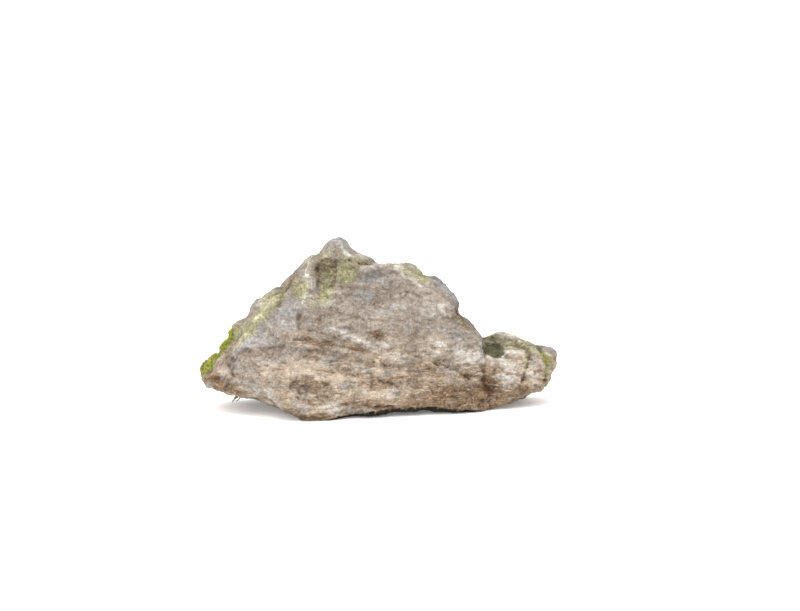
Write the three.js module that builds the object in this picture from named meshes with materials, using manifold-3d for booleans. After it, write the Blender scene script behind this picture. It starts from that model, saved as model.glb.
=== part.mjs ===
// A grey-brown pumice stone for a planting tray: one lump of weathered rock, about 23 cm long, shaped like a
// small mountain. A broad broken face fills the front, a rounded knob tops it, a mossy slope runs down to a
// pointed left end that stands clear of the ground, and a low dished shoulder ends it on the right.
// Three cushions of moss grow on it, and a few rootlets hang from its left end.
// Millimetres. +X runs to the right along the front, +Y to the back, +Z up, and the stone stands on Z = 0.

import * as THREE from "three";
import { ImprovedNoise } from "three/addons/math/ImprovedNoise.js";
import { mergeVertices } from "three/addons/utils/BufferGeometryUtils.js";
import Module from "manifold-3d";

const wasm = await Module();
wasm.setup();

// Driving dimensions
const LOOK_DOWN = THREE.MathUtils.degToRad(8); // the front is measured along a line that dips this much
const STONE_DETAIL = 9; // the ball it starts from has 20 faces of (this + 1) squared triangles each
const RIM_ROUND = 30; // how softly the front rolls over to the rim
const BACK_ROUND = 70; // the same behind the rim
const UNDER_ROUND = 400; // and on the underside, which stays nearly level
const FACE_BLEND = 2.4; // width over which two broken faces run into each other
const LUMP_BLEND = 5; // and over which the two lumps of the stone do
const SWELL = 0.7; // makes up for what the flat triangles cut off the corners

// The two lumps of the stone. The rim of a lump is the line where its front turns away, as seen from the
// front: [across, up, depth]. Faces are planes, as their depth at a point and how it changes across and up.
const MAIN_MASS = {
  rim: [
    [-114.3, 26.5, 15], [-113.6, 31, 16], [-107.3, 34.3, 17], [-100.6, 39, 17], [-94.7, 48.5, 17],
    [-92, 57.5, 17], [-84, 68.5, 17], [-81.5, 72, 17], [-77, 75, 16], [-70.5, 77, 16], [-60.5, 80.5, 12],
    [-59.5, 86, 12], [-52, 93.5, 12], [-49.5, 95.5, 12], [-46.5, 99.5, 12], [-43.5, 102.7, 12],
    [-39.5, 103.1, 12], [-36, 104.6, 13], [-33.7, 108.4, 13], [-30.2, 112.2, 14], [-27, 113.7, 14],
    [-22.6, 112.7, 14], [-20.4, 109.8, 14], [-17.9, 105.8, 15], [-12.4, 101.3, 17], [-2, 98.3, 18],
    [3.5, 95.5, 19], [10, 96.5, 20], [16, 97.5, 25], [32.5, 90, 28], [41.5, 93, 33], [48, 80, 28],
    [52, 71, 22], [52.5, 69.5, 20], [51.5, 66.5, 20], [52.5, 63.5, 24], [55.5, 63.5, 26],
    [60.5, 58, 26], [68, 49, 24], [71, 39.5, 24], [74, 21.5, 16], [70, 1, 5], [59, 1.5, 3],
    [43, 2.5, 1], [32, 2.5, -3], [23.5, 1, -5], [10.5, 1, -9], [-5.5, 0.5, -12], [-18, -1, -15],
    [-28.5, -3, -18], [-38, -4, -22], [-48, -4, -24], [-51.5, -0.5, -22], [-55.5, 3.5, -19],
    [-65, 7, -15], [-73, 12, -12], [-84, 11.5, -8], [-88.5, 11, -7], [-96.5, 12.5, -4],
    [-105.5, 16.5, 0], [-112.5, 21.5, 5],
  ],
  front: [
    { across: -38, up: -5, depth: -27, perAcross: 0.28, perUp: 0.08 }, // below the belt
    { across: 0, up: 42, depth: -12.6, perAcross: 0.3, perUp: 0.28 }, // above the belt, leaning back
    { across: -49, up: 60, depth: -22.3, perAcross: -0.5, perUp: 0.28 }, // the left wing
    { across: -75, up: 62, depth: -8.7, perAcross: -1.62, perUp: 1.34 }, // the mossy slope
    { across: 28, up: 84, depth: 3.5, perAcross: 1.2, perUp: 2 }, // the lichen facet along the top
    { across: 47, up: 76, depth: 12, perAcross: 1.6, perUp: 1 }, // the grey facet at the right corner
  ],
  back: [
    { across: 0, up: 20, depth: 64, perAcross: 0.02, perUp: -0.12 },
    { across: -10, up: 60, depth: 56, perAcross: -0.04, perUp: -0.55 },
    { across: -30, up: 30, depth: 60, perAcross: 0.3, perUp: -0.2 },
    { across: 50, up: 75, depth: 41, perAcross: -0.75, perUp: -0.3 },
  ],
};
const SHOULDER = {
  rim: [
    [60.5, 48, 50], [72, 49, 50], [81.5, 50, 50], [87, 49.5, 50], [96, 46, 50], [103, 44, 48],
    [109.5, 42.5, 46], [115, 39.5, 42], [118, 34.5, 38], [117, 28.5, 36], [112, 21.5, 32], [104, 15, 28],
    [92, 8, 24], [79, 3, 18], [70.5, 0.5, 12], [59.5, 1, 9],
  ],
  front: [
    { across: 90, up: 30, depth: 12.5, perAcross: 0.22, perUp: -0.1 },
    { across: 108, up: 36, depth: 20, perAcross: 1.1, perUp: 0.2 },
  ],
  back: [
    { across: 80, up: 40, depth: 62, perAcross: -0.2, perUp: -0.25 },
    { across: 105, up: 30, depth: 58, perAcross: -0.9, perUp: 0 },
  ],
};

// Moss: where it grows, as points of the front view [across, up, depth], how far it spreads round them, and
// how far it stands off the stone
const MOSS_GAP = 0.4;
const MOSS_DETAIL = 3; // triangles of a cushion, counted as those of the stone
const MOSS_LUMPS = { size: 4, height: 0.5, seed: 2.9 };
const MOSS_EDGE = 1; // width over which a cushion rounds off to its sides
const ROOTLETS_DETAIL = 1;
const MOSS_LEFT_TIP = {
  spots: [[-112, 28, 10], [-110, 32, 12], [-105.5, 34.5, 12]],
  radius: 5,
  thickness: 2.2,
};
const MOSS_LEFT_SLOPE = {
  spots: [[-99.5, 43.5, 12], [-97, 47, 13], [-94.5, 51, 14]],
  radius: 4.5,
  thickness: 2.2,
};
const MOSS_RIGHT_END = {
  spots: [[103.5, 40.5, 19], [106.5, 40, 20], [109, 37, 22], [109.5, 33, 23]],
  radius: 2.2,
  thickness: 1.3,
};

// Rootlets that hang from the left end: where they leave the stone as a point of the front view, half the
// size of the tangle [x, y, z], how far below the stone its middle is and how far it leans to one side
const ROOTLETS = { from: [-90, 10, -2], half: [3.6, 1.2, 3.25], drop: 2.25, lean: -2 };

// Hollows, each an ellipsoid scooped out of the stone: centre and half sizes [across, depth, up].
const HOLLOWS = [
  { centre: [-32.5, -10, 90], half: [7.5, 13, 11], blend: 1.5 }, // mossy gully under the knob, its deep left
  { centre: [-21, -13, 92.5], half: [12, 13, 11], blend: 1.5 }, // and its shallow right
  { centre: [-35, -15.5, 80], half: [4.5, 10, 11], blend: 2 }, // where the gully runs out
  { centre: [-65, 2, 86], half: [5, 13, 9], blend: 2 }, // crease between the slope and the facet above it
  { centre: [88.5, 27, 64], half: [25, 24, 29], blend: 2 }, // the dish in the shoulder
  { centre: [74.5, 36, 41], half: [7, 18, 12], blend: 1.5 }, // the deep pocket beside the main mass
  { centre: [79, 12, 48], half: [11, 12, 12], blend: 2 }, // the low lip in front of the pocket
  { centre: [-42, -30, 16], half: [15, 8, 8.5], blend: 3 }, // eaten recess low on the left
  { centre: [73, -2, 22], half: [6, 10, 15], blend: 4 }, // gully between the main mass and the shoulder
  { centre: [-45, 66, 58], half: [26, 14, 12], blend: 6 }, // scar across the back
  { centre: [14, 74, 34], half: [18, 14, 24], blend: 6 }, // scoop low on the back
];

// The relief of the broken faces. Waves and ripples are noise, chips are flat cells, and those of the rear
// are larger. Heights are in mm, and squeeze flattens them into beds.
const BED_DIP = 0.16; // how far the beds of the stone fall for each mm to the right
const WAVES = { size: 26, height: 1.1, squeeze: 2.2, seed: 3.1 };
const RIPPLES = { size: 11, height: 0.5, squeeze: 2.4, seed: 8.7 };
const CHIPS = { size: 17, height: 0.6, stretch: 0.75, squeeze: 1.5, seed: 5.3 };
const CHIP_BLEND = 0.25; // share of a cell over which its tilt runs into the next one's
const REAR = { from: 30, over: 20 }; // depth where the rear starts, and how far it takes to come in
const REAR_WAVES = { size: 37, height: 2.5, seed: 6.4 };
const REAR_CHIPS = { size: 38, height: 0.35, seed: 2.2 };

// Feet: where the underside comes down to the ground, [x, y, spread]
const FEET = [
  [-41, -22, 13],
  [58, 11, 12],
  [-34, 44, 12],
  [46, 52, 11],
];
const FOOT_DROP = 5.4;
const UNDER_CLEARANCE = 2.6; // how far the underside is off the ground between them
const UNDER_WAVES = { size: 20, height: 1.2, seed: 1.3 };
const UNDER_EDGE = 2; // width over which the sides turn into the underside
const SOLE_EDGE = 0.8; // and the underside into the flat of a foot
const SOLE_TOP = 1; // the relief starts this far above the ground
const FOOT_SINK = 0.6; // the feet are drawn this far into the ground, then pressed flat on it

const noiseOf = new ImprovedNoise();
const cosDip = Math.cos(LOOK_DOWN);
const sinDip = Math.sin(LOOK_DOWN);

// Greater and lesser of two values, rounded off where they are within k of each other
function softMax(a, b, k) {
  const h = Math.max(k - Math.abs(a - b), 0) / k;
  return Math.max(a, b) + (h * h * k) / 4;
}

function length3(x, y, z) {
  return Math.sqrt(x * x + y * y + z * z);
}

function noise(x, y, z, size, seed) {
  return noiseOf.noise(x / size + seed, y / size + seed * 1.7, z / size - seed * 0.6);
}

// A rim as straight edges, with what each needs for a quick measurement
function edgesOf(rim) {
  return rim.map(([x, z, y], i) => {
    const [bx, bz, by] = rim[(i + 1) % rim.length];
    const length = Math.sqrt((bx - x) ** 2 + (bz - z) ** 2);
    return { x, z, y, ex: bx - x, ez: bz - z, ey: by - y, length, down: Math.max(0, (x - bx) / length) };
  });
}

// Nearest point of a rim: signed distance in the front view (negative inside), its depth, and how far the
// rim there faces down.
function nearestRim(edges, across, up) {
  let best = Infinity;
  let depth = 0;
  let down = 0;
  let inside = false;
  for (const edge of edges) {
    const dx = across - edge.x;
    const dz = up - edge.z;
    const t = Math.min(1, Math.max(0, (dx * edge.ex + dz * edge.ez) / (edge.length * edge.length)));
    const gapX = dx - t * edge.ex;
    const gapZ = dz - t * edge.ez;
    const distance = gapX * gapX + gapZ * gapZ;
    if (distance < best) {
      best = distance;
      depth = edge.y + t * edge.ey;
      down = edge.down;
    }
    if (dz < 0 !== dz < edge.ez && dx < (dz / edge.ez) * edge.ex) inside = !inside;
  }
  best = Math.sqrt(best);
  return { distance: inside ? -best : best, depth, down };
}

// How far a point is outside one lump
function lumpField(lump, across, depth, up) {
  const rim = nearestRim(lump.edges, across, up);
  const behind = depth - rim.depth;
  const round = behind < 0 ? RIM_ROUND : BACK_ROUND + (UNDER_ROUND - BACK_ROUND) * rim.down;
  let field = rim.distance + (behind * behind) / (2 * round);
  for (const f of lump.front) {
    const plane = f.depth + f.perAcross * (across - f.across) + f.perUp * (up - f.up);
    field = softMax(field, (plane - depth) / length3(1, f.perAcross, f.perUp), FACE_BLEND);
  }
  for (const f of lump.back) {
    const plane = f.depth + f.perAcross * (across - f.across) + f.perUp * (up - f.up);
    field = softMax(field, (depth - plane) / length3(1, f.perAcross, f.perUp), FACE_BLEND);
  }
  return field;
}

// Every cell of space tilts the surface its own way, which gives the flat chips of a broken stone. Size is
// that of a cell, and the tilts of neighbouring cells run into each other over a share of it.
function chips(x, y, z, size, seed) {
  const cell = [Math.floor(x / size), Math.floor(y / size), Math.floor(z / size)];
  const first = { distance: Infinity, tilt: 0 };
  const second = { distance: Infinity, tilt: 0 };
  for (let i = -1; i <= 1; i++)
    for (let j = -1; j <= 1; j++)
      for (let k = -1; k <= 1; k++) {
        const key = (cell[0] + i) * 127.1 + (cell[1] + j) * 311.7 + (cell[2] + k) * 74.7 + seed;
        const random = (n) => {
          const s = Math.sin(key * (1 + 0.37 * n) + n * 12.9) * 43758.5453;
          return s - Math.floor(s);
        };
        const dx = x / size - (cell[0] + i + random(1));
        const dy = y / size - (cell[1] + j + random(2));
        const dz = z / size - (cell[2] + k + random(3));
        const distance = length3(dx, dy, dz);
        if (distance >= second.distance) continue;
        const tilt = dx * (random(4) - 0.5) + dy * (random(5) - 0.5) + dz * (random(6) - 0.5);
        const place = distance < first.distance ? first : second;
        if (place === first) Object.assign(second, first);
        Object.assign(place, { distance, tilt });
      }
  const share = Math.max(0, 0.5 - (second.distance - first.distance) / (2 * CHIP_BLEND));
  return (first.tilt + share * (second.tilt - first.tilt)) * size;
}

MAIN_MASS.edges = edgesOf(MAIN_MASS.rim);
SHOULDER.edges = edgesOf(SHOULDER.rim);

// The stone without its hollows and its relief: roughly the distance in mm from its surface, negative inside.
function bulkField(x, y, z) {
  const depth = y * cosDip - z * sinDip;
  const up = y * sinDip + z * cosDip;
  const main = lumpField(MAIN_MASS, x, depth, up);
  const shoulder = lumpField(SHOULDER, x, depth, up);
  const bulk = -softMax(-main, -shoulder, LUMP_BLEND) - SWELL;
  let under = UNDER_CLEARANCE + UNDER_WAVES.height * noise(x, y, 0, UNDER_WAVES.size, UNDER_WAVES.seed);
  for (const [fx, fy, spread] of FEET)
    under -= FOOT_DROP * Math.exp(-((x - fx) ** 2 + (y - fy) ** 2) / (2 * spread * spread));
  return softMax(bulk, softMax(under, -FOOT_SINK, SOLE_EDGE) - z, UNDER_EDGE);
}

// The stone's whole form
function stoneField(x, y, z) {
  const depth = y * cosDip - z * sinDip;
  const up = y * sinDip + z * cosDip;
  let field = bulkField(x, y, z);
  for (const { centre, half, blend } of HOLLOWS) {
    const q = length3((x - centre[0]) / half[0], (depth - centre[1]) / half[1], (up - centre[2]) / half[2]);
    field = softMax(field, (1 - q) * Math.min(...half), blend);
  }
  if (z < SOLE_TOP) return field; // the feet stay flat
  const bed = up + BED_DIP * x;
  field += WAVES.height * noise(x, y, bed * WAVES.squeeze, WAVES.size, WAVES.seed);
  field += RIPPLES.height * noise(x, y, bed * RIPPLES.squeeze, RIPPLES.size, RIPPLES.seed);
  field += CHIPS.height * chips(x * CHIPS.stretch, y, bed * CHIPS.squeeze, CHIPS.size, CHIPS.seed);
  const rear = Math.min(1, Math.max(0, (depth - REAR.from) / REAR.over));
  field += rear * REAR_WAVES.height * noise(x, y, bed, REAR_WAVES.size, REAR_WAVES.seed);
  return field + rear * REAR_CHIPS.height * chips(x, y, bed, REAR_CHIPS.size, REAR_CHIPS.seed);
}

// Splits every triangle in four. Points are [x, y, z], and faces are three numbers of points each.
function splitFaces(points, faces) {
  const middles = new Map();
  const middle = (a, b) => {
    const key = Math.min(a, b) * 1e6 + Math.max(a, b);
    if (!middles.has(key)) {
      middles.set(key, points.length);
      points.push(points[a].map((v, k) => (v + points[b][k]) / 2));
    }
    return middles.get(key);
  };
  return faces.flatMap(([a, b, c]) => {
    const ab = middle(a, b);
    const bc = middle(b, c);
    const ca = middle(c, a);
    return [[a, ab, ca], [ab, b, bc], [ca, bc, c], [ab, bc, ca]];
  });
}

// Moves every point to where field is zero and slides it towards the larger of the triangles round it, which
// makes them even. Slide is the share of the way that it goes.
const PROBE = 0.35; // distance over which the slope of a field is felt
const LEAST_SLOPE = 0.5;
const LONGEST_STEP = 4;
const STEP_SHARE = 0.8;
function settle(points, faces, field, rounds, slide) {
  const h = PROBE;
  for (let round = 0; round < rounds; round++) {
    const pulls = points.map(() => [0, 0, 0, 0]);
    for (const [a, b, c] of faces) {
      const p = points[a];
      const q = points[b];
      const r = points[c];
      const middle = p.map((v, k) => (v + q[k] + r[k]) / 3);
      const u = q.map((v, k) => v - p[k]);
      const w = r.map((v, k) => v - p[k]);
      const area = length3(u[1] * w[2] - u[2] * w[1], u[2] * w[0] - u[0] * w[2], u[0] * w[1] - u[1] * w[0]);
      for (const i of [a, b, c]) {
        for (let k = 0; k < 3; k++) pulls[i][k] += area * middle[k];
        pulls[i][3] += area;
      }
    }
    points.forEach((p, i) => {
      const [x, y, z] = p;
      const g = [
        field(x + h, y, z) - field(x - h, y, z),
        field(x, y + h, z) - field(x, y - h, z),
        field(x, y, z + h) - field(x, y, z - h),
      ];
      const length = length3(...g) || 1;
      const n = g.map((v) => v / length);
      const slope = Math.max(length / (2 * h), LEAST_SLOPE);
      const step = Math.max(-LONGEST_STEP, Math.min(LONGEST_STEP, field(x, y, z) / slope));
      const pull = p.map((v, k) => pulls[i][k] / (pulls[i][3] || 1) - v);
      const along = pull[0] * n[0] + pull[1] * n[1] + pull[2] * n[2];
      for (let k = 0; k < 3; k++) p[k] += slide * (pull[k] - along * n[k]) - STEP_SHARE * step * n[k];
    });
  }
}

// Draws a closed ball of triangles onto a form in stages. A stage that splits makes four of each triangle
// before it starts.
function wrap(centre, half, detail, stages) {
  const ball = new THREE.IcosahedronGeometry(1, detail);
  ball.deleteAttribute("normal");
  ball.deleteAttribute("uv");
  const { index, attributes } = mergeVertices(ball, 1e-5);
  const points = [];
  for (let i = 0; i < attributes.position.count; i++) {
    const p = new THREE.Vector3().fromBufferAttribute(attributes.position, i).toArray();
    points.push(p.map((v, k) => centre[k] + v * half[k]));
  }
  let faces = [];
  for (let i = 0; i < index.count; i += 3) faces.push([0, 1, 2].map((k) => index.getX(i + k)));
  for (const { field, split, rounds, slide } of stages) {
    if (split) faces = splitFaces(points, faces);
    settle(points, faces, field, rounds, slide);
  }
  return new THREE.BufferGeometry()
    .setAttribute("position", new THREE.Float32BufferAttribute(points.flat(), 3))
    .setIndex(faces.flat());
}

function toSolid(geometry) {
  return new wasm.Manifold(
    new wasm.Mesh({
      numProp: 3,
      vertProperties: new Float32Array(geometry.getAttribute("position").array),
      triVerts: new Uint32Array(geometry.index.array),
    }),
  );
}

function toGeometry(solid) {
  const mesh = solid.getMesh();
  return new THREE.BufferGeometry()
    .setAttribute("position", new THREE.BufferAttribute(mesh.vertProperties, 3))
    .setIndex(new THREE.BufferAttribute(mesh.triVerts, 1));
}

function named(name, geometry, color, roughness) {
  const mesh = new THREE.Mesh(geometry, new THREE.MeshStandardMaterial({ color, roughness, metalness: 0 }));
  mesh.name = name;
  return mesh;
}

// A form moved outwards by a margin, as a solid
function grown(geometry, margin) {
  const copy = geometry.clone();
  copy.computeVertexNormals();
  const position = copy.getAttribute("position");
  const normal = copy.getAttribute("normal");
  for (let i = 0; i < position.count; i++)
    position.setXYZ(
      i,
      position.getX(i) + normal.getX(i) * margin,
      position.getY(i) + normal.getY(i) * margin,
      position.getZ(i) + normal.getZ(i) * margin,
    );
  return toSolid(copy);
}

// The point of the stone's surface nearest to a point of the front view, found down the slope of its form
function onStone([across, up, depth]) {
  const p = [across, depth * cosDip + up * sinDip, up * cosDip - depth * sinDip];
  settle([p], [], stoneField, 20, 0);
  return p;
}

// What of a form is outside the stone and its gap, in one piece
function largestOutside(geometry) {
  const pieces = toSolid(geometry).subtract(grownStone).decompose();
  return toGeometry(pieces.sort((a, b) => b.volume() - a.volume())[0]);
}

// A cushion of moss: round spots on the stone that run together, as far as the moss stands off it
function mossPad({ spots, radius, thickness }) {
  const centres = spots.map(onStone);
  const middle = [0, 1, 2].map((k) => centres.reduce((sum, c) => sum + c[k], 0) / centres.length);
  const reach = [0, 1, 2].map((k) => radius + Math.max(...centres.map((c) => Math.abs(c[k] - middle[k]))));
  const field = (x, y, z) => {
    let outside = Infinity;
    for (const c of centres)
      outside = -softMax(-outside, radius - length3(x - c[0], y - c[1], z - c[2]), radius);
    const lump = MOSS_LUMPS.height * noise(x, y, z, MOSS_LUMPS.size, MOSS_LUMPS.seed);
    return softMax(outside, stoneField(x, y, z) - thickness + lump, MOSS_EDGE);
  };
  const pad = wrap(middle, reach, MOSS_DETAIL, [{ field, split: false, rounds: 60, slide: 0.6 }]);
  return largestOutside(pad);
}

// A few fine rootlets that hang from the underside of the left end, as one thin pod of their outer form
function rootlets() {
  const { from, half, drop, lean } = ROOTLETS;
  const [x, y, z] = onStone(from);
  const middle = [x + lean, y, z - drop];
  const field = (px, py, pz) => {
    const q = length3((px - middle[0]) / half[0], (py - middle[1]) / half[1], (pz - middle[2]) / half[2]);
    return (q - 1) * half[1];
  };
  const tangle = wrap(middle, half, ROOTLETS_DETAIL, [{ field, split: false, rounds: 20, slide: 0.6 }]);
  return largestOutside(tangle);
}

// The stone starts as a plain ball about its own size.
const stoneGeometry = wrap([2, 28, 50], [118, 50, 60], STONE_DETAIL, [
  { field: bulkField, split: false, rounds: 80, slide: 1 },
  { field: bulkField, split: true, rounds: 20, slide: 1 },
  { field: stoneField, split: false, rounds: 30, slide: 0.8 },
  { field: stoneField, split: false, rounds: 5, slide: 0 },
]);
const heights = stoneGeometry.getAttribute("position");
for (let i = 0; i < heights.count; i++) heights.setZ(i, Math.max(0, heights.getZ(i)));

// The stone grown a little, so that what grows on it keeps a fine gap to it
const grownStone = grown(stoneGeometry, MOSS_GAP);

const part = new THREE.Group();
part.add(
  named("stone", stoneGeometry, 0xa89a8a, 0.95),
  named("moss_left_tip", mossPad(MOSS_LEFT_TIP), 0x8c9a2c, 1),
  named("moss_left_slope", mossPad(MOSS_LEFT_SLOPE), 0x7f9a25, 1),
  named("moss_right_end", mossPad(MOSS_RIGHT_END), 0x768a34, 1),
  named("rootlets", rootlets(), 0x7b6a50, 1),
);

// The origin is under the middle of the stone, on the ground.
const bounds = new THREE.Box3().setFromObject(part);
part.position.set(-(bounds.min.x + bounds.max.x) / 2, -(bounds.min.y + bounds.max.y) / 2, 0);

export default part;
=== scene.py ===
"""A weathered pumice stone for a planting tray, with cushions of moss and a few rootlets, on a white floor.

The stone's shape comes from the frame. Its surface is worked finer here: beds, pits, cracks and broken edges,
and the colours that weather and moss have left on it, with painted shade in its hollows, pores and pocket and
under its front edge, and painted highlight on its crests. Metres, unless a name or a comment says mm.
"""

import math
import random

import bpy
import numpy as np
from mathutils import Matrix, Vector, kdtree, noise


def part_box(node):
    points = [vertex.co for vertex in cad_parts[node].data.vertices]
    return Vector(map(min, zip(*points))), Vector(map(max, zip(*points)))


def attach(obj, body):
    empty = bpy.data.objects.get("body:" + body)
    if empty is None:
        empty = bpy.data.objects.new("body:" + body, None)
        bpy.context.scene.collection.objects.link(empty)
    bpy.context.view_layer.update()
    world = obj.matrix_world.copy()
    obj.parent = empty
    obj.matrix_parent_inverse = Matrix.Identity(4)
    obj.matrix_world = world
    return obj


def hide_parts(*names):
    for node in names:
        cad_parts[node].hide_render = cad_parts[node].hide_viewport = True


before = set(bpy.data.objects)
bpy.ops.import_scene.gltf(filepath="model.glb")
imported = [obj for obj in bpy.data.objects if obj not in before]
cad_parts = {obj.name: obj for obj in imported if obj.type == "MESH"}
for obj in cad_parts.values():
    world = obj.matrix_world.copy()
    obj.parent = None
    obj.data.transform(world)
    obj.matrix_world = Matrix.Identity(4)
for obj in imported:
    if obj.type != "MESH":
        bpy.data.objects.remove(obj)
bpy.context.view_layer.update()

# The camera stands 1.3 m in front of the stone and looks 8 degrees down on it through a long lens.
LOOK_DOWN = math.radians(8)
CAMERA_AIM = Vector((0.01226, -0.01115, 0.06922))
CAMERA_DISTANCE = 1.3
FRAME_WIDTH = 0.51544  # what the width of the picture covers at the point it aims at
SENSOR_WIDTH_MM = 36
towards_camera = Vector((0, -math.cos(LOOK_DOWN), math.sin(LOOK_DOWN)))
bpy.ops.object.camera_add(
    location=CAMERA_AIM + towards_camera * CAMERA_DISTANCE, rotation=(math.pi / 2 - LOOK_DOWN, 0, 0)
)
camera = bpy.context.object
camera.data.sensor_width = SENSOR_WIDTH_MM
camera.data.lens = SENSOR_WIDTH_MM * CAMERA_DISTANCE / FRAME_WIDTH
bpy.context.scene.camera = camera

# The floor is one wide sheet of matt white paper. It glows a little, so that it is as white as the bright
# studio behind it.
FLOOR_SIZE = 12
FLOOR_GLOW = 0.15
PAPER_WHITE = (0.9, 0.89, 0.875, 1)
PAPER_GLOW = (1, 1, 1, 1)
bpy.ops.mesh.primitive_plane_add(size=FLOOR_SIZE)
floor = bpy.context.object
floor.name = "paper_floor"
paper = bpy.data.materials.new("white_paper")
paper.use_nodes = True
paper_shader = paper.node_tree.nodes["Principled BSDF"]
paper_shader.inputs["Base Color"].default_value = PAPER_WHITE
paper_shader.inputs["Roughness"].default_value = 0.9
paper_shader.inputs["Specular IOR Level"].default_value = 0.1
paper_shader.inputs["Emission Color"].default_value = PAPER_GLOW
paper_shader.inputs["Emission Strength"].default_value = FLOOR_GLOW
floor.data.materials.append(paper)

# Light: a wide softbox overhead, a smaller one at the front left, and the white walls of the room all round.
ROOM_LIGHT = 1.35
ROOM_WHITE = (1, 1, 1, 1)
LIGHTS_AIM = Vector((0, 0, 0.04))
SOFTBOXES = {
    "overhead": {"place": (-0.25, -0.35, 1.5), "size": 1.6, "watts": 24},
    "front_left": {"place": (-1.1, -1.5, 1.0), "size": 1.2, "watts": 22},
}
world = bpy.data.worlds.new("white_room")
bpy.context.scene.world = world
world.use_nodes = True
walls = world.node_tree.nodes["Background"]
walls.inputs["Color"].default_value = ROOM_WHITE
walls.inputs["Strength"].default_value = ROOM_LIGHT
for box_name, box in SOFTBOXES.items():
    turned = (LIGHTS_AIM - Vector(box["place"])).to_track_quat("-Z", "Y").to_euler()
    bpy.ops.object.light_add(type="AREA", location=box["place"], rotation=turned)
    softbox = bpy.context.object
    softbox.name = "softbox_" + box_name
    softbox.data.size = box["size"]
    softbox.data.energy = box["watts"]
bpy.context.scene.view_settings.view_transform = "Standard"


# The stone: one lump of bedded grey-brown pumice, broken out of its bed and weathered since. Its bulk is the
# frame's; here its skin is drawn finely enough for the grain, and worked as the weather has.
MM_IN_A_METRE = 1000
SKIN_GRAIN = 0.00095  # size of the facets the skin is drawn in
WORN_PASSES = 2  # how far its broken edges are worn down
WELD_GAP = 1e-5  # corners of the frame's triangles closer than this are one


def pick_only(piece):
    bpy.ops.object.select_all(action="DESELECT")
    piece.select_set(True)
    bpy.context.view_layer.objects.active = piece


def copy_of_node(node, name):
    """A new piece with a frame node's shape, its loose triangles merged into one skin."""
    piece = bpy.data.objects.new(name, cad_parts[node].data.copy())
    bpy.context.scene.collection.objects.link(piece)
    piece.data.materials.clear()
    pick_only(piece)
    bpy.ops.object.mode_set(mode="EDIT")
    bpy.ops.mesh.select_all(action="SELECT")
    bpy.ops.mesh.remove_doubles(threshold=WELD_GAP)
    bpy.ops.object.mode_set(mode="OBJECT")
    return piece


stone = copy_of_node("stone", "weathered_stone")
finer = stone.modifiers.new("finer", "SUBSURF")
finer.subdivision_type = "SIMPLE"
finer.levels = finer.render_levels = 2
worn = stone.modifiers.new("worn", "SMOOTH")
worn.factor = 0.5
worn.iterations = WORN_PASSES
even_skin = stone.modifiers.new("even_skin", "REMESH")
even_skin.mode = "VOXEL"
even_skin.voxel_size = SKIN_GRAIN
pick_only(stone)
bpy.ops.object.modifier_apply(modifier="finer")
bpy.ops.object.modifier_apply(modifier="worn")
bpy.ops.object.modifier_apply(modifier="even_skin")
bpy.ops.object.shade_smooth()


def points_of(piece, key):
    """A row of three numbers for each point of a piece: its place in metres, "co", or its "normal"."""
    values = np.empty(len(piece.data.vertices) * 3, np.float32)
    piece.data.vertices.foreach_get(key, values)
    return values.reshape(-1, 3).astype(float)


def smooth_step(low, high, value):
    t = np.clip((value - low) / (high - low), 0, 1)
    return t * t * (3 - 2 * t)


# Places on the front are given as the eye meets them, in mm: across, to the right, and up, square to the line
# of sight. The front view's own middle is a little beside the stone's.
FRONT_VIEW_MIDDLE_MM = (1.59, 20.87)
BED_DIP = 0.16  # how far the beds fall for each mm to the right
at = points_of(stone, "co") * MM_IN_A_METRE
facing = points_of(stone, "normal")
across = at[:, 0] + FRONT_VIEW_MIDDLE_MM[0]
up = (at[:, 1] + FRONT_VIEW_MIDDLE_MM[1]) * math.sin(LOOK_DOWN) + at[:, 2] * math.cos(LOOK_DOWN)
bed = at[:, 2] + BED_DIP * at[:, 0]
in_front = smooth_step(-0.2, 0.05, facing @ np.array(towards_camera))


ROLLING = (0.8, 2.1)  # of rolling noise: how fast its finer waves fade, and how much finer each is
CRESTED = (1.0, 2.2, 4, 1.0, 2.0)  # the same of crested noise, then its number of waves, offset and gain


def stone_grid(size, squeeze, shift):
    """The stone's points as the noises take them: size in mm, and squeeze flattens it into the beds."""
    return (np.column_stack([at[:, 0], at[:, 1], bed * squeeze]) / size + shift).tolist()


def waves(size, squeeze=1.0, octaves=3, shift=0.0):
    """Rolling noise over the stone, about -1 to 1."""
    return np.array([noise.fractal(p, *ROLLING, octaves) for p in stone_grid(size, squeeze, shift)])


def crests(size, squeeze=1.0, shift=0.0):
    """Sharp crests with soft hollows between them, about 0 to 2."""
    return np.array([noise.ridged_multi_fractal(p, *CRESTED) for p in stone_grid(size, squeeze, shift)])


def cells(size, squeeze=1.0, shift=0.0):
    """For every point: how far the two nearest cell middles are, its offset from the nearer, and that one."""
    first, second, offset, own = [], [], [], []
    for p in stone_grid(size, squeeze, shift):
        distances, middles = noise.voronoi(p)
        first.append(distances[0])
        second.append(distances[1])
        offset.append(Vector(p) - middles[0])
        own.append(middles[0])
    return np.array(first), np.array(second), np.array(offset), np.array(own)


SCATTER_WAY = np.array([12.9898, 78.233, 37.719])  # any three unlike numbers
SCATTER_GAIN = 43758.5453  # any large one


def own_number(middles, n):
    """The n-th of the numbers from 0 to 1 that each cell keeps to itself."""
    spin = np.sin(middles @ SCATTER_WAY * (1 + 0.31 * n) + n) * SCATTER_GAIN
    return spin - np.floor(spin)


def gap_to(line, line_across, line_up):
    """How far each point of the front is from a line of points (across, up), in mm."""
    nearest = np.full(len(at), np.inf)
    for (ax, ay), (bx, by) in zip(line, line[1:]):
        length_squared = (bx - ax) ** 2 + (by - ay) ** 2
        t = np.clip(((line_across - ax) * (bx - ax) + (line_up - ay) * (by - ay)) / length_squared, 0, 1)
        gap = np.hypot(line_across - ax - t * (bx - ax), line_up - ay - t * (by - ay))
        nearest = np.minimum(nearest, gap)
    return nearest


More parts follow.
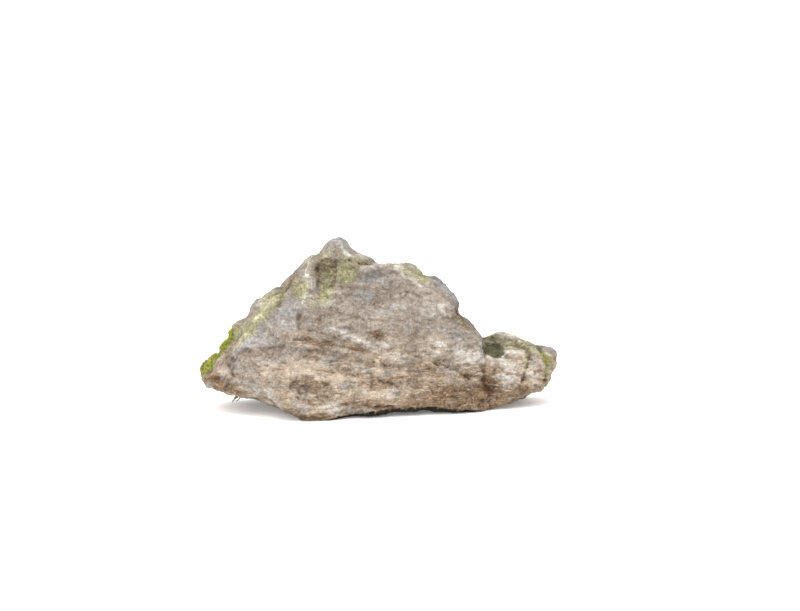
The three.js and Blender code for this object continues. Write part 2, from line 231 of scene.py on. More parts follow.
# Where something lies on the front: (across, up, half width, half height, tilt in degrees, strength).
MOSS_FILM = [
    (-79, 60, 27, 6, 44, 0.8),  # the slope up from the left end
    (-70, 75, 9, 3.5, 18, 0.55),
    (-61, 78, 9, 2.2, 63, 1.0),  # the crease at its top
    (-50, 80, 5.5, 8, 0, 0.8),  # the facet beside the rib
    (-34, 92, 7, 10, 0, 0.6),  # the gully under the knob, its left side
    (-20.5, 90.5, 7.5, 8, 20, 1.0),  # and its right side
    (-32.5, 79, 5.5, 8, -15, 0.95),  # where it runs out
    (-39, 71, 9, 4.5, 0, 0.35),
    (-14, 98, 11, 3, -8, 0.6),  # the saddle right of the knob
    (24, 91, 14, 4.5, -28, 0.7),  # the lichened facet along the top
    (55, 61, 5, 3, -50, 0.5),
    (-110, 31, 7, 3, 45, 0.7),  # round the moss of the left end
    (-101, 42.5, 9, 3, 50, 0.8),
    (-31, 104, 8, 3.5, 0, 0.45),
    (-47, 97, 4, 7, -40, 0.4),
    (109.5, 34, 1.7, 8, 12, 1.0),  # seams of the right end
    (96, 31, 1.5, 9, -15, 0.7),
    (111, 22, 3, 6, -30, 0.6),
]
# Brown stains, and with them painted shade under the ledge and the left tip, in the cleft, the notch and the
# recess roof, and a painted shadow line over the left foot.
BROWN_STAIN_AND_SHADE = [
    (-33, 92, 6.5, 9, 0, 0.55),  # the left side of the gully
    (-43, 20.5, 15, 4, -5, 0.7),  # painted shade in the roof of the eaten recess
    (-42, 12, 13, 5, 0, 0.35),
    (-39, 46.5, 18, 2.2, -8, 0.8),  # brown streaks, and painted shade under the ledge
    (-15, 43, 9, 2.0, -20, 0.7),
    (0, 51, 6.5, 3.0, -12, 0.75),
    (-80, 39, 22, 3.0, 2, 0.45),
    (30, 29, 18, 4, -15, 0.5),
    (3, 30, 20, 2.6, -12, 0.4),
    (1, 20, 12, 3.5, -10, 0.6),
    (50, 11, 38, 9, 3, 1.0),  # the low right of the front
    (55, 6, 26, 4, 5, 0.6),
    (-53, 87, 5, 7, 0, 0.6),
    (30, 20, 18, 4, -6, 0.45),
    (71, 20, 5, 11, 0, 0.75),
    (-8, 8, 26, 4, -4, 0.6),
    (66, 30, 5, 4, 0, 0.6),
    (-51, -1, 5, 3, -35, 0.9),  # painted shadow line over the left foot
    (-100, 18.5, 14, 4, -20, 0.95),
    (40, 74, 7, 5, 0, 0.35),
    (52, 65, 4, 3, -60, 0.6),  # painted shade in the notch on the right
    (57, 58, 6, 4, -50, 0.5),
    (-38, 62, 2.5, 4, -10, 0.6),
    (-50, 61, 2.0, 7, 0, 0.5),  # painted shade in the cleft under the rib
    (83, 8, 15, 4, 28, 0.65),
    (92, 14, 4, 2.5, 20, 0.9),
    (99, 36.5, 2.5, 4, 10, 0.5),
    (-107, 24, 6, 5, -30, 0.8),
    (-111, 30, 3, 3, 0, 0.7),
    (-101, 33, 8, 5, 35, 0.5),
    (-66, 50, 12, 6, 20, 0.22),
    (-33, 56, 12, 5, -10, 0.25),
    (-61, 30, 4, 1.6, 0, 0.6),
    (-96, 33, 3, 5, 10, 0.35),
    (-24, 61, 14, 2.0, -10, 0.3),
    (22, 60, 12, 2.0, -14, 0.3),
    (10, 74, 14, 1.8, -12, 0.3),
]
PALE_BLOOM = [
    (9, 38, 15, 5.5, -25, 0.45),
    (58, 36.5, 11, 6, -15, 1.0),
    (37, 68, 10, 7, 0, 0.7),
    (30, 76, 9, 4, -30, 0.4),
    (85, 26, 8, 9, 0, 0.95),
    (99, 24, 4.5, 4.5, 0, 0.8),
    (-17, 50, 14, 3.5, -22, 0.55),
    (0, 96.5, 11, 2.0, 8, 0.5),
    (12, 95.5, 3, 4, -40, 0.6),
    (-24, 107, 7, 5, 0, 0.35),
    (-44.5, 90, 1.3, 9, 6, 0.8),
    (-22, 104, 2.2, 2, 0, 1.0),
    (22, 86.5, 13, 1.5, -30, 0.6),
    (-84, 18.5, 20, 4.5, -12, 0.35),
    (-25, 5, 12, 3.5, 0, 0.5),
    (-19, 18, 9, 4.5, 0, 0.4),
    (36, 43, 10, 4, -10, 0.35),
    (88, 38.5, 12, 1.8, 5, 0.7),
    # painted highlight along the top of the dish's back wall
    (83, 50.5, 13, 1.8, -8, 0.85),
    (90, 45, 12, 4, -10, 0.25),
    (-34, 8, 12, 2.5, 0, 0.5),
    (10, 12, 14, 2.0, 0, 0.5),
    (48, 47, 8, 5, 0, 0.3),
    (108, 39.5, 5, 2.5, -20, 0.5),
]
SLATE_GREY = [
    (-4, 88.3, 8.5, 3.2, 12, 0.85),  # the dark lens under the top edge
    (1, 90.5, 12, 4.5, 8, 0.35),
    (42, 85, 9, 4.5, -40, 1.0),  # the facet at the upper right corner
    (48, 78, 3.5, 9, 32, 0.8),
    (-57, 67, 12, 11, 45, 0.7),
    (-80, 50, 17, 4, 45, 0.55),
    (-52, 90, 6, 9, 0, 0.6),
    (-9, 77, 8, 5, 0, 0.55),
    (50, 51, 8, 5, -30, 0.55),
    (-51, 6, 8, 7, 0, 0.5),
    (-26, 110, 10, 7, 0, 0.5),
    (-28, 36, 13, 5, 0, 0.35),
    (108, 38, 8, 5, 0, 0.45),
    (-74, 41, 24, 13, 20, 0.45),
    (-92, 34, 3.5, 9, 0, 0.5),
    (-102, 32, 7, 7, 30, 0.4),
    (99, 35.5, 3.5, 5.5, 10, 0.8),
    (10, 64, 26, 9, -10, 0.22),
    (-10, 36, 14, 4, -25, 0.3),
]
ragged_across = 2.2 * waves(9, shift=3.1) + 1.0 * waves(2.6, shift=9.2)
ragged_up = 1.8 * waves(9, 1.6, shift=5.7) + 0.9 * waves(2.6, shift=1.4)


WHOLE_WITHIN = 0.35  # a place is whole up to here, as a share of its half width and height,
GONE_BEYOND = 1.5  # and is gone from here on


def lies_on_front(places):
    """How strongly each point of the skin belongs to one of the places, 0 to 1, fading out to its border."""
    none_of_them = np.ones(len(at))
    for place_across, place_up, half_width, half_height, tilt, strength in places:
        dx = across + ragged_across - place_across
        dy = up + ragged_up - place_up
        turn = math.radians(tilt)
        along = (dx * math.cos(turn) + dy * math.sin(turn)) / half_width
        over = (-dx * math.sin(turn) + dy * math.cos(turn)) / half_height
        none_of_them *= 1 - strength * smooth_step(GONE_BEYOND, WHOLE_WITHIN, np.hypot(along, over))
    return (1 - none_of_them) * in_front


level = smooth_step(0.25, 0.8, facing[:, 2])  # how far the skin faces up
behind = 1 - in_front
# The dish in the shoulder and its deep pocket are as far back as the middle of the stone. In mm: the dish's
# middle in x and z and where it fades out, and the pocket's middle and half sizes as the front shows it.
DISH_X, DISH_Z = 88, 42
DISH_REACH = (24, 16)
POCKET_ACROSS, POCKET_UP = 74.5, 39.5
POCKET_HALF_WIDTH, POCKET_HALF_HEIGHT = 8.5, 5.5
from_dish = np.hypot(at[:, 0] - DISH_X, (at[:, 2] - DISH_Z) * 1.2)
in_dish = smooth_step(*DISH_REACH, from_dish) * smooth_step(2, 9, at[:, 1])
# The deep pocket is darkened to a dark olive with painted shade.
pocket_dx = (across + 0.5 * ragged_across - POCKET_ACROSS) / POCKET_HALF_WIDTH
pocket_dy = (up + 0.4 * ragged_up - POCKET_UP) / POCKET_HALF_HEIGHT
pocket_painted_shade = smooth_step(1.08, 0.92, np.hypot(pocket_dx, pocket_dy)) * smooth_step(2, 7, at[:, 1]) * in_front
DISH_LIP = [(70.5, 36.5), (72.6, 35), (80.6, 35), (83.5, 38.2), (90.1, 39.8), (95.1, 37.2)]
over_lip = smooth_step(-0.5, 1.5, up + 0.3 * ragged_up - np.interp(across, *zip(*DISH_LIP)))
moss_film = np.maximum(lies_on_front(MOSS_FILM), 0.6 * in_dish * over_lip)
# The sides and the back, which the front's places don't reach, are patched by noise in the same colours.
back_moss = (0.2 + 0.5 * level) * smooth_step(-0.1, 0.5, waves(24, shift=2.3))
back_stain = 0.8 * smooth_step(0.0, 0.6, waves(17, 1.8, shift=8.8))
back_bloom = 0.5 * smooth_step(0.2, 0.7, waves(13, 1.5, shift=4.4))
back_slate = 0.6 * smooth_step(0.1, 0.6, waves(19, shift=6.1))
# Skin that faces down close to the ground is darkened with painted shade, laid in with the brown stains.
painted_shade_underneath = smooth_step(0.0, 0.6, -facing[:, 2]) * smooth_step(12, 3, at[:, 2])
moss_film = np.maximum(moss_film, back_moss * behind)
brown_stain_and_shade = np.maximum(lies_on_front(BROWN_STAIN_AND_SHADE), back_stain * behind)
brown_stain_and_shade = np.maximum(brown_stain_and_shade, 0.9 * painted_shade_underneath)
pale_bloom_and_highlight = np.maximum(lies_on_front(PALE_BLOOM), back_bloom * behind)
slate_grey = np.maximum(lies_on_front(SLATE_GREY), back_slate * behind)
# The top edge of the dish's back wall, which faces the overhead light, is painted pale as a highlight, and
# the curved lip in front of its pocket is painted pale too. The edge falls to the right from its high end.
EDGE_START_ACROSS, EDGE_START_UP = 81, 52.5
EDGE_FALL = 0.3
over_edge = up - (EDGE_START_UP - EDGE_FALL * (across - EDGE_START_ACROSS))
at_dish_edge = smooth_step(-2.8, -0.8, over_edge) * smooth_step(73, 77, across) * smooth_step(101, 95, across)
pale_bloom_and_highlight = np.maximum(pale_bloom_and_highlight, 0.9 * at_dish_edge * smooth_step(2, 9, at[:, 1]))
LIP_HALF_WIDTH = 1.3
on_lip = np.exp(-((gap_to(DISH_LIP, across, up) / LIP_HALF_WIDTH) ** 2)) * in_front
pale_bloom_and_highlight = np.maximum(pale_bloom_and_highlight, 0.8 * on_lip)
moss_film = moss_film * (1 - 0.9 * at_dish_edge) * (1 - on_lip)
# A thin green seam, where moss has begun in a crack of the right end.
GREEN_SEAM = [(105, 40.5), (107.5, 39), (109.5, 35.5), (110, 31), (107.5, 24)]
green_seam = 0.8 * smooth_step(1.3, 0.3, gap_to(GREEN_SEAM, across, up) + 0.3 * ragged_across) * in_front
# The low beds are warmer in colour and more eaten than the high ones.
warm_beds = np.clip(smooth_step(64, 20, up) + 0.35 * waves(26, 1.6, shift=12.5), 0, 1)
warm_beds *= 1 - 0.45 * smooth_step(-45, -80, across)

# Lines worked into the front: points (across, up), half width and height in mm, which is negative for a cut.
WORKED_LINES = {
    "belt": ([(-98, 40), (-78, 42), (-58, 44), (-32, 40), (-6, 34), (14, 31)], 1.8, -0.9),
    "belt_edge": ([(-90, 44), (-74, 46), (-56, 47), (-32, 43.5), (-6, 37.5)], 2.0, 0.6),
    "rib": ([(-43, 101), (-45, 90), (-46, 80), (-49, 67)], 1.2, 1.2),
    "cleft": ([(-49, 67), (-50.5, 61), (-50, 56)], 1.6, -1.3),
    "gully_crease": ([(-38.5, 97), (-38.5, 89), (-38, 82)], 1.3, -1.2),
    "gully_ridge": ([(-24.5, 97), (-25.5, 90), (-27, 83)], 1.2, 0.9),
    "beside_ridge": ([(-27, 97), (-28, 90), (-29.5, 83)], 1.1, -0.9),
    "overhang": ([(-19, 101.5), (-13, 100.5), (-5, 99)], 1.2, 1.1),
    "under_overhang": ([(-19, 99.5), (-13, 98), (-5, 96.5)], 1.1, -1.6),
    "lens_roof": ([(-15, 89), (-9, 94), (-1, 96.5), (7, 96), (12, 93)], 1.2, 1.1),
    "lens_hollow": ([(-10, 87.5), (-1, 89.5), (8, 91.5)], 3.2, -0.6),
    "lens_sill": ([(-13, 84.5), (-2, 84), (8, 87)], 1.2, 0.7),
    "lichen_edge": ([(11, 96), (20, 91), (28, 87), (35, 83)], 1.2, 1.1),
    "notch": ([(50, 68.5), (52.5, 65.5), (55, 62)], 1.8, -1.4),
    "pale_ledge": ([(-28, 54.5), (-19, 51.5), (-11, 47.5), (-4, 44)], 1.6, 1.0),
    "under_ledge": ([(-29, 51), (-20, 48), (-12, 44.5), (-5, 41)], 1.2, -0.9),
    "streak_left": ([(-51, 49.5), (-38, 47.5), (-22, 44), (-9, 41)], 1.4, -0.8),
    "streak_middle": ([(-6, 53), (0, 50), (4, 47.5)], 1.6, -0.8),
    "streak_right": ([(17, 40), (33, 34.5), (49, 28), (59, 23)], 1.3, -0.9),
    "recess_roof": ([(-55, 19.5), (-49, 23.5), (-41, 24), (-34, 21.5), (-28, 16)], 1.4, -0.6),
    "recess_holes": ([(-53, 14.5), (-48, 14), (-43, 15), (-38, 13.5), (-32, 12.5)], 0.9, -1.2),
    "holes_right": ([(-1, 23), (3.5, 21), (8, 21.5), (12, 19)], 0.9, -1.1),
    "low_edges": ([(-25, 10), (-12, 8), (1, 9), (14, 6.5)], 1.5, 1.1),
    "under_low_edges": ([(-25, 7.5), (-12, 5.5), (1, 6), (14, 4)], 1.2, -1.0),
    "shoulder_gully": ([(68, 31), (70, 21.5), (72, 10)], 2.4, -1.2),
    "shoulder_groove": ([(99, 39), (97, 31), (93, 20)], 1.1, -1.6),
    "end_seam": ([(105.5, 41.5), (108.5, 36.5), (109.5, 30.5), (108.5, 21.5)], 1.0, -1.2),
    "wing_ridge": ([(-106, 31), (-90, 44), (-76, 62), (-62, 78)], 1.6, 0.9),
    "slope_crease": ([(-58, 84.5), (-61.5, 78), (-64, 71.5)], 2.0, -1.6),
    "dish_lip": (DISH_LIP, 1.1, 0.9),
    "pocket_edge": ([(70, 51), (69, 44), (69.5, 37)], 1.3, -1.3),
    "wing_crack": ([(-90, 40), (-92, 33), (-93.5, 27)], 1.0, -0.7),
    "tip_crease": ([(-113, 29), (-104, 32), (-96, 38)], 1.3, -1.1),
    "tip_ledge": ([(-109, 23), (-101, 23.5), (-93, 25)], 1.8, -1.1),
    "brow": ([(10, 82), (22, 78), (34, 72), (41, 63)], 1.3, -0.8),
    "high_streak": ([(-31, 66), (-18, 63), (-2, 61), (12, 57)], 1.1, -0.6),
}


def worked_lines():
    """Height of the worked lines, in mm, fading and swelling along their way."""
    height = np.zeros(len(at))
    swelling = 0.75 + 0.6 * waves(5, shift=7.7)
    wander_across = across + 0.5 * ragged_across
    wander_up = up + 0.5 * ragged_up
    for line, half_width, line_height in WORKED_LINES.values():
        gap = gap_to(line, wander_across, wander_up)
        height += line_height * swelling * np.exp(-((gap / half_width) ** 2))
    return height * in_front


# How high the forms of the skin stand out or go in.
CRUMBLE_MM = 0.55
LEDGE_MM = 0.42
GRIT_MM = 0.3
BED_STEP_MM = 0.9
FLAKE_MM = 1.7
HOLE_DEPTH_MM = 0.75
MOSS_LUMP_MM = 0.16
# How rough the skin is: crumbling where the beds are eaten out, finer on the hard grey facets and the slope.
rough = 1 - 0.4 * slate_grey - 0.35 * moss_film + 0.25 * brown_stain_and_shade
low_front = smooth_step(52, 36, up) * in_front
rough *= 0.8 + 0.35 * low_front
crumble = CRUMBLE_MM * waves(7.5, 1.9, 4) * rough
ledges = LEDGE_MM * (crests(11, 2.3) - 1.0) * rough
grit = GRIT_MM * waves(2.3, 1.4, 3, shift=4.9) * rough
# Thin beds that break off in small steps, each a little overhung.
BED_THICKNESS_MM = 6.5
bed_steps = (bed + 3.2 * waves(16, shift=1.9)) / BED_THICKNESS_MM
bed_steps -= np.floor(bed_steps)
steps = BED_STEP_MM * (smooth_step(0, 0.8, bed_steps) - smooth_step(0.8, 1.0, bed_steps) - 0.5)
steps *= smooth_step(-0.1, 0.5, waves(12, 2.0, shift=7.3)) * (0.35 + 0.65 * warm_beds) * (1 - 0.6 * moss_film)
# Flakes that each lean their own way, and small holes where something has fallen out.
nearest, second, offset, middle = cells(9.5, 1.5, shift=0.4)
lean = np.column_stack([own_number(middle, n) - 0.5 for n in (1, 2, 3)])
flakes = FLAKE_MM * np.sum(offset * lean, axis=1) * smooth_step(0.0, 0.2, second - nearest)
nearest, _, _, middle = cells(2.4, 1.2, shift=2.6)
holed = own_number(middle, 4) < 0.05 + 0.16 * brown_stain_and_shade + 0.05 * low_front
holes = -HOLE_DEPTH_MM * holed * smooth_step(0.42, 0.15, nearest)
lines = worked_lines()
# Rounded knobs and ends, as (across, up, spread, height): all round them, not only on the front.
ROUNDED_ENDS = [
    (-21.5, 111, 4.5, 1.2),
    (98.5, 46, 6, 2.2),
    (106, 43.5, 5, 1.0),
    (114, 42.5, 4, -1.2),
    (118, 29, 5, 1.8),
    (112, 20.5, 5, 1.3),
    (108.5, 15.5, 5, 1.2),
    (55, 66.5, 3.2, -2.0),
]
relief = crumble + ledges + grit + steps + flakes + holes + lines
for end_across, end_up, spread, end_height in ROUNDED_ENDS:
    relief += end_height * np.exp(-(((across - end_across) ** 2 + (up - end_up) ** 2) / spread**2))
relief += MOSS_LUMP_MM * waves(1.7, octaves=2, shift=8.3) * moss_film
on_ground = smooth_step(0.3, 2.2, at[:, 2])  # the feet stay flat
relief *= on_ground
moved = at + facing * relief[:, None]
# The underside between the feet lies close over the ground.
UNDERSIDE_LOWERED = 0.5  # by this share of its height
between_feet = smooth_step(-42, -34, across) * smooth_step(76, 68, across) * on_ground
faces_down = smooth_step(0.2, 0.7, -facing[:, 2])
moved[:, 2] -= UNDERSIDE_LOWERED * moved[:, 2] * faces_down * smooth_step(9, 4, at[:, 2]) * between_feet
# A shallow gap is cut in under the front edge and painted near-black as shadow: how high it reaches over the
# ground, as (across, height) in mm.
GAP_TOP = [
    (-35, 0),
    (-25, 1.9),
    (-14, 3.2),
    (-5, 4.2),
    (6, 5.0),
    (14, 5.2),
    (24, 5.2),
    (34, 5.4),
    (42, 4.0),
    (50, 2.8),
    (60, 2.0),
    (70, 0),
]
GAP_DEPTH_MM = 2.5
gap_top = np.interp(across, *zip(*GAP_TOP)) * (1 + 0.3 * waves(3.0, shift=6.6))
painted_shadow_gap = smooth_step(0.35, -0.35, moved[:, 2] - gap_top) * (gap_top > 0.3) * smooth_step(34, 16, at[:, 1])
moved[:, 1] += GAP_DEPTH_MM * painted_shadow_gap * on_ground
moved[:, 2] = np.maximum(moved[:, 2], 0)


def move_points(piece, places_mm):
    piece.data.vertices.foreach_set("co", (places_mm / MM_IN_A_METRE).astype(np.float32).ravel())
    piece.data.update()


move_points(stone, moved)


def keep_on_skin(piece, name, values):
    """Stores one number for each point of the skin, for the piece's material to read."""
    layer = piece.data.attributes.new(name, "FLOAT", "POINT")
    layer.data.foreach_set("value", np.asarray(values, np.float32))


# Painted shade darkens its hollows, tinted brown, and a painted highlight lightens its crests. The finer
# forms count for more in this than the broad ones.
FULL_RELIEF_MM = 3.2
fine_relief = 0.8 * (crumble + ledges + steps) + 1.5 * grit + 0.5 * flakes + 1.3 * holes + 0.9 * lines
keep_on_skin(stone, "height", np.clip(0.5 + fine_relief / FULL_RELIEF_MM, 0, 1))
SKIN_MASKS = {
    "moss_film": moss_film,
    "brown_stain_and_shade": brown_stain_and_shade,
    "pale_bloom_and_highlight": pale_bloom_and_highlight,
    "slate_grey": slate_grey,
    "warm_beds": warm_beds,
    "pocket_painted_shade": pocket_painted_shade,
    "green_seam": green_seam,
    "painted_shadow_gap": painted_shadow_gap,
}
for mask_name, mask in SKIN_MASKS.items():
    keep_on_skin(stone, mask_name, mask)


def add_node(tree, kind, settings=None, **inputs):
    """A node with its settings and inputs. An input goes by its name, _ for a space, or by _ and a number."""
    node = tree.nodes.new(kind)
    for key, value in (settings or {}).items():
        setattr(node, key, value)
    for key, value in inputs.items():
        socket = node.inputs[int(key[1:])] if key[1:].isdigit() else node.inputs[key.replace("_", " ")]
        if isinstance(value, bpy.types.NodeSocket):
            tree.links.new(value, socket)
        else:
            socket.default_value = value
    return node


def math_node(tree, operation, a, b=0.0, c=0.0):
    return add_node(tree, "ShaderNodeMath", {"operation": operation}, _0=a, _1=b, _2=c).outputs[0]


def noise_node(tree, coordinate, scale, detail, roughness=0.6):
    inputs = {"Vector": coordinate, "Scale": scale, "Detail": detail, "Roughness": roughness}
    return add_node(tree, "ShaderNodeTexNoise", **inputs).outputs["Fac"]


def mix_colour(tree, factor, a, b, how="MIX"):
    node = tree.nodes.new("ShaderNodeMix")
    node.data_type = "RGBA"
    node.blend_type = how
    for socket, value in ((node.inputs[0], factor), (node.inputs[6], a), (node.inputs[7], b)):
        if isinstance(value, bpy.types.NodeSocket):
            tree.links.new(value, socket)
        else:
            socket.default_value = value
    return node.outputs[2]


def ramp(tree, factor, stops):
    node = add_node(tree, "ShaderNodeValToRGB", Fac=factor)
    elements = node.color_ramp.elements
    while len(elements) < len(stops):
        elements.new(0.5)
    for element, (place, colour) in zip(elements, stops):
        element.position = place
        element.color = (*colour, 1)
    return node.outputs["Color"]


FINE_GRAIN_TIMES = 3.3  # how much finer the fine half of the grain is than its coarse half


def weathered_grain():
    """Node group: fine mottling of a natural surface, as a shade to multiply by and a height for a bump."""
    group = bpy.data.node_groups.new("weathered_grain", "ShaderNodeTree")
    group.interface.new_socket("Coordinate", in_out="INPUT", socket_type="NodeSocketVector")
    group.interface.new_socket("Scale", in_out="INPUT", socket_type="NodeSocketFloat")
    group.interface.new_socket("Amount", in_out="INPUT", socket_type="NodeSocketFloat")
    group.interface.new_socket("Shade", in_out="OUTPUT", socket_type="NodeSocketColor")
    group.interface.new_socket("Height", in_out="OUTPUT", socket_type="NodeSocketFloat")
    inside = group.nodes.new("NodeGroupInput").outputs
    coarse = noise_node(group, inside["Coordinate"], inside["Scale"], 4.0, 0.7)
    finer_scale = math_node(group, "MULTIPLY", inside["Scale"], FINE_GRAIN_TIMES)
    fine = noise_node(group, inside["Coordinate"], finer_scale, 3.0, 0.7)
    height = math_node(group, "MULTIPLY_ADD", fine, 0.5, math_node(group, "MULTIPLY", coarse, 0.5))
    swing = math_node(group, "MULTIPLY", math_node(group, "SUBTRACT", height, 0.5), inside["Amount"])
    shade = math_node(group, "ADD", swing, 1.0)
    result = group.nodes.new("NodeGroupOutput").inputs
    group.links.new(shade, result["Shade"])
    group.links.new(height, result["Height"])
    return group


grain = weathered_grain()


def grain_node(tree, coordinate, scale, amount):
    inputs = {"Coordinate": coordinate, "Scale": scale, "Amount": amount}
    return add_node(tree, "ShaderNodeGroup", {"node_tree": grain}, **inputs)


rock = bpy.data.materials.new("weathered_pumice")
rock.use_nodes = True
tree = rock.node_tree
rock_shader = tree.nodes["Principled BSDF"]
place = tree.nodes.new("ShaderNodeTexCoord").outputs["Object"]


def along_beds(tree, coordinate, squeeze):
    """The coordinate laid along the stone's beds, with its height squeezed that many times."""
    tilt = (0, math.atan(BED_DIP), 0)
    inputs = {"Vector": coordinate, "Rotation": tilt, "Scale": (1, 1, squeeze)}
    return add_node(tree, "ShaderNodeMapping", **inputs).outputs[0]


def skin(tree, name):
    """The number that keep_on_skin stored under this name."""
    return add_node(tree, "ShaderNodeAttribute", {"attribute_name": name}).outputs["Fac"]


def part_of(tree, value, low, high, most=1.0):
    """How far a value has come from low to high, as a share that ends at most."""
    inputs = {"Value": value, "_1": low, "_2": high, "_4": most}
    return add_node(tree, "ShaderNodeMapRange", {"interpolation_type": "SMOOTHSTEP"}, **inputs).outputs[0]


def patchy(tree, mask, breaker, most=0.9):
    """A mask broken up by a noise, so that it fades out in small flecks."""
    swing = math_node(tree, "MULTIPLY_ADD", math_node(tree, "SUBTRACT", breaker, 0.5), 3.4, 1.0)
    return part_of(tree, math_node(tree, "MULTIPLY", mask, swing), 0.05, 1.05, most)


bedded = along_beds(tree, place, 2.0)
thin_beds = along_beds(tree, place, 5.0)
beds = noise_node(tree, bedded, 45, 3, 0.6)
mottle = noise_node(tree, bedded, 190, 6, 0.75)
specks = noise_node(tree, place, 700, 4, 0.75)
streaks = noise_node(tree, thin_beds, 70, 5, 0.65)
crisp_streaks = noise_node(tree, thin_beds, 130, 5, 0.7)

# How light the grain is at each place. Every colour of the rock runs from dark to light with it.
tone = math_node(tree, "MULTIPLY_ADD", mottle, 0.36, math_node(tree, "MULTIPLY", beds, 0.24))
tone = math_node(tree, "MULTIPLY_ADD", specks, 0.40, tone)
COOL_TONES = [
    (0.34, (0.085, 0.068, 0.054)),
    (0.43, (0.150, 0.124, 0.100)),
    (0.50, (0.228, 0.192, 0.157)),
    (0.57, (0.305, 0.266, 0.224)),
    (0.68, (0.450, 0.415, 0.370)),
]
WARM_TONES = [
    (0.34, (0.098, 0.066, 0.042)),
    (0.43, (0.212, 0.160, 0.113)),
    (0.50, (0.335, 0.270, 0.205)),
    (0.57, (0.420, 0.348, 0.277)),
    (0.68, (0.590, 0.525, 0.445)),
]
OCHRE_TONES = [(0.36, (0.100, 0.056, 0.022)), (0.5, (0.275, 0.190, 0.105)), (0.64, (0.49, 0.385, 0.255))]
BLEACHED_TONES = [(0.36, (0.155, 0.148, 0.140)), (0.5, (0.335, 0.328, 0.315)), (0.64, (0.56, 0.555, 0.54))]
GREY_TONES = [(0.36, (0.088, 0.083, 0.083)), (0.5, (0.208, 0.203, 0.206)), (0.64, (0.42, 0.415, 0.41))]
BLOOM_AND_HIGHLIGHT_TONES = [(0.36, (0.25, 0.22, 0.185)), (0.5, (0.46, 0.43, 0.385)), (0.62, (0.62, 0.60, 0.565))]
STAIN_AND_SHADE_TONES = [(0.36, (0.037, 0.019, 0.009)), (0.5, (0.154, 0.091, 0.046)), (0.64, (0.330, 0.224, 0.131))]
MOSS_TONES = [(0.38, (0.060, 0.052, 0.022)), (0.5, (0.230, 0.218, 0.112)), (0.62, (0.47, 0.47, 0.28))]
SEAM_TONES = [(0.4, (0.04, 0.05, 0.02)), (0.5, (0.12, 0.15, 0.045)), (0.6, (0.27, 0.31, 0.09))]
POCKET_SHADE_TONES = [(0.4, (0.025, 0.024, 0.012)), (0.5, (0.060, 0.060, 0.028)), (0.6, (0.13, 0.13, 0.065))]
PALE_STREAK = (0.52, 0.465, 0.395, 1)
CRACK_SOIL = (0.045, 0.026, 0.014, 1)
CHALK = (0.46, 0.445, 0.42, 1)
PORE_PAINTED_SHADE = (0.05, 0.033, 0.022, 1)
# Near-black painted shadow for the gap under the front edge.
GAP_PAINTED_SHADOW = (0.008, 0.006, 0.004, 1)
# Painted shade in the hollows, up to a painted highlight on the crests: a shade to multiply the colour by.
HOLLOW_SHADE_TO_CREST_HIGHLIGHT = [
    (0.10, (0.30, 0.22, 0.16)),
    (0.38, (0.78, 0.74, 0.70)),
    (0.50, (1.00, 1.00, 1.00)),
    (0.82, (1.40, 1.40, 1.40)),
]


def laid_over(colour, mask, tones):
    """The rock's colour with these tones over it where the mask says."""
    return mix_colour(tree, mask, colour, ramp(tree, tone, tones))


def times(mask, other):
    """A mask cut down by another mask, or by a share."""
    return math_node(tree, "MULTIPLY", mask, other)


warm = skin(tree, "warm_beds")
# This mask holds the brown stains together with the painted shade laid in with them.
stain = skin(tree, "brown_stain_and_shade")
colour = laid_over(ramp(tree, tone, COOL_TONES), patchy(tree, warm, beds, 1.0), WARM_TONES)
# Rust has drifted through the beds: some are ochre, some bleached.
rust = noise_node(tree, bedded, 85, 5, 0.7)
colour = laid_over(colour, times(part_of(tree, rust, 0.53, 0.66, 0.7), warm), OCHRE_TONES)
colour = laid_over(colour, part_of(tree, rust, 0.47, 0.36, 0.6), BLEACHED_TONES)
colour = laid_over(colour, patchy(tree, skin(tree, "slate_grey"), mottle), GREY_TONES)
# Pale bloom, with a painted highlight at the top of the dish's back wall.
colour = laid_over(colour, patchy(tree, skin(tree, "pale_bloom_and_highlight"), mottle), BLOOM_AND_HIGHLIGHT_TONES)
# Brown stains, and painted shade under ledges, in clefts and under the stone, in the same tones.
colour = laid_over(colour, patchy(tree, stain, mottle), STAIN_AND_SHADE_TONES)
# Dark and pale streaks along the warm beds.
colour = laid_over(colour, times(part_of(tree, streaks, 0.52, 0.64, 0.8), warm), STAIN_AND_SHADE_TONES)
light_streaks = times(part_of(tree, crisp_streaks, 0.54, 0.68, 0.6), warm)
colour = mix_colour(tree, light_streaks, colour, PALE_STREAK)
# Fine cracks along the beds, dark with soil, where the stone is stained and where it carries painted shade.
from_middle = math_node(tree, "ABSOLUTE", math_node(tree, "SUBTRACT", crisp_streaks, 0.5))
stained = math_node(tree, "MULTIPLY_ADD", warm, 0.3, stain)
cracks = times(part_of(tree, from_middle, 0.020, 0.004, 0.8), part_of(tree, stained, 0.3, 0.9))
colour = mix_colour(tree, cracks, colour, CRACK_SOIL)
# A thin film of moss, and specks of chalk over all of it.
colour = laid_over(colour, patchy(tree, skin(tree, "moss_film"), specks), MOSS_TONES)
chalk = noise_node(tree, place, 330, 5, 0.7)
colour = mix_colour(tree, part_of(tree, chalk, 0.58, 0.72, 0.55), colour, CHALK)
# Painted shade in the hollows and painted highlight on the crests, read from the skin's height.
hollow_shade_and_crest_highlight = ramp(tree, skin(tree, "height"), HOLLOW_SHADE_TO_CREST_HIGHLIGHT)
colour = mix_colour(tree, 1.0, colour, hollow_shade_and_crest_highlight, "MULTIPLY")
# Small open pores, darkened inside with painted shade, more of them where the stone is eaten.
pores = noise_node(tree, bedded, 520, 3, 0.8)
solid_between = part_of(tree, math_node(tree, "MULTIPLY_ADD", stain, -0.08, pores), 0.28, 0.34)
in_pore = math_node(tree, "SUBTRACT", 1.0, solid_between)
colour = mix_colour(tree, times(in_pore, 0.8), colour, PORE_PAINTED_SHADE)
colour = laid_over(colour, patchy(tree, skin(tree, "green_seam"), mottle), SEAM_TONES)
